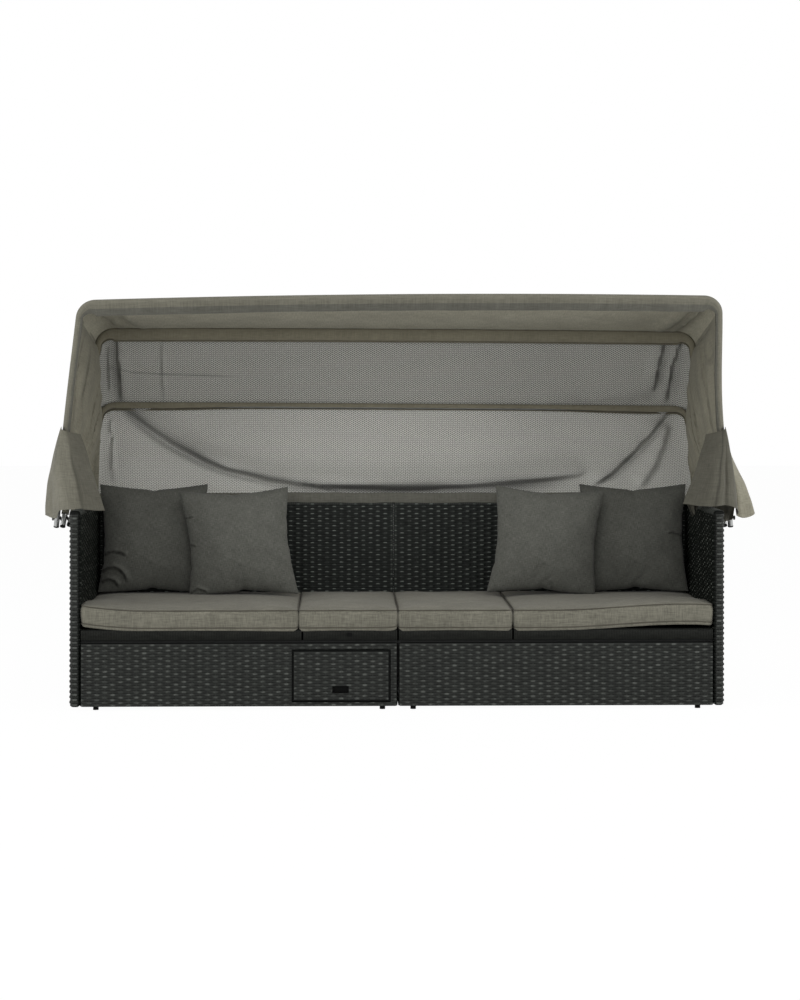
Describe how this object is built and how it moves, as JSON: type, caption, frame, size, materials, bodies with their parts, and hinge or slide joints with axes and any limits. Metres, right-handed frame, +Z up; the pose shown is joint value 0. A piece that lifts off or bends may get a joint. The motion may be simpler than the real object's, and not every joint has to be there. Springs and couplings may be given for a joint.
{
  "type": "outdoor daybed with canopy",
  "caption": "Two-module woven outdoor daybed with seat cushions, scatter pillows, a drawer and a folding hooped canopy with a net back.",
  "frame": {"origin": "on the floor under the middle of the whole object's box", "axes": "+X to the right of someone who faces the front, +Y to the back, +Z up; the front faces -Y"},
  "size_m": [2.6704, 0.9108, 1.4902],
  "materials": {
    "wicker": "satin",
    "steel": "satin",
    "plastic": "matte",
    "seat_fabric": "matte",
    "pillow_fabric": "matte",
    "canopy_fabric": "matte",
    "canopy_net": "matte",
    "bow_tube": "satin"
  },
  "bodies": {
    "base": {"base_frame_left": "steel", "front_panel_left": "wicker", "back_panel_left": "wicker", "arm_left": "wicker", "base_frame_right": "steel", "front_panel_right": "wicker", "back_panel_right": "wicker", "arm_right": "wicker", "glide_front_left_inner": "plastic", "glide_front_left_outer": "plastic", "glide_front_right_inner": "plastic", "glide_front_right_outer": "plastic", "glide_rear_left_inner": "plastic", "glide_rear_left_outer": "plastic", "glide_rear_right_inner": "plastic", "glide_rear_right_outer": "plastic", "module_clip_front": "plastic", "module_clip_rear": "plastic", "seat_frame_1": "wicker", "cushion_1": "seat_fabric", "seat_frame_3": "wicker", "cushion_3": "seat_fabric", "seat_frame_4": "wicker", "cushion_4": "seat_fabric", "runner_left": "steel", "runner_right": "steel", "pillow_left_rear": "pillow_fabric", "pillow_left_front": "pillow_fabric", "pillow_right_rear": "pillow_fabric", "pillow_right_front": "pillow_fabric", "pivot_bracket_left": "steel", "pivot_bolt_left": "steel", "side_cloth_left": "canopy_fabric", "skirt_left": "canopy_fabric", "pivot_bracket_right": "steel", "pivot_bolt_right": "steel", "side_cloth_right": "canopy_fabric", "skirt_right": "canopy_fabric", "mesh_lower": "canopy_net", "hem_band": "canopy_fabric"},
    "drawer": {"drawer_front": "wicker", "drawer_box": "plastic", "drawer_pull": "plastic"},
    "lid_section": {"seat_frame_2": "wicker", "cushion_2": "seat_fabric", "lid_tab": "plastic"},
    "rear_bow": {"bow_rear": "bow_tube", "plug_rear_left": "plastic", "plug_rear_right": "plastic", "mesh_upper": "canopy_net"},
    "middle_bow": {"bow_middle": "bow_tube", "plug_middle_left": "plastic", "plug_middle_right": "plastic", "canopy_roof": "canopy_fabric"},
    "front_bow": {"bow_front": "bow_tube", "plug_front_left": "plastic", "plug_front_right": "plastic", "front_sleeve": "canopy_fabric"}
  },
  "joints": [
    {"name": "drawer_slide", "type": "slide", "parent": "base", "child": "drawer", "axis": [0, -1, 0], "range_m": [0, 0.35]},
    {"name": "lid_lift", "type": "slide", "parent": "base", "child": "lid_section", "axis": [0, 0, 1], "range_m": [0, 0.15]},
    {"name": "rear_bow_fold", "type": "hinge", "parent": "base", "child": "rear_bow", "pos_m": [0, -0.00543, 0.655], "axis": [-1, 0, 0], "range_deg": [0, 52.73], "deforming": ["mesh_lower", "side_cloth_left", "side_cloth_right", "skirt_left", "skirt_right"]},
    {"name": "middle_bow_fold", "type": "hinge", "parent": "rear_bow", "child": "middle_bow", "pos_m": [0, -0.00543, 0.655], "axis": [-1, 0, 0], "range_deg": [0, 15.74], "deforming": ["mesh_upper"]},
    {"name": "front_bow_fold", "type": "hinge", "parent": "middle_bow", "child": "front_bow", "pos_m": [0, -0.00543, 0.655], "axis": [-1, 0, 0], "range_deg": [0, 35.4], "deforming": ["canopy_roof"]}
  ],
  "couplings": [
    {"joint": "middle_bow_fold", "follows": "rear_bow_fold", "ratio": 0.2985},
    {"joint": "front_bow_fold", "follows": "rear_bow_fold", "ratio": 0.67134}
  ]
}
